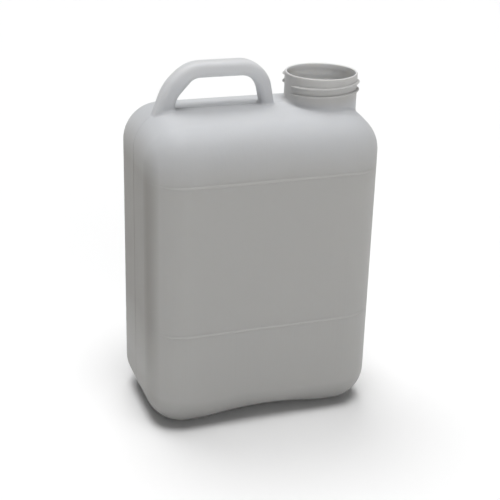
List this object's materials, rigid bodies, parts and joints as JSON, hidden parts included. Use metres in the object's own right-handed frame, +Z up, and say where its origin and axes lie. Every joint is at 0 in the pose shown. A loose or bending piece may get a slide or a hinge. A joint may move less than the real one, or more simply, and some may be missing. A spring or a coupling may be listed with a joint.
{
  "type": "wide-neck water canister",
  "caption": "Blow-moulded plastic water canister with a hollow loop handle on top and a wide open neck at one end, standing on two flat feet, without its cap.",
  "frame": {"origin": "middle of the base, on the floor", "axes": "+X along the width towards the neck, +Y towards the back, +Z up"},
  "size_m": [0.2958, 0.1866, 0.4498],
  "materials": {
    "hdpe": "natural white blow-moulded polyethylene, slightly waxy"
  },
  "bodies": {
    "root": {"canister_body": "hdpe"}
  },
  "joints": []
}
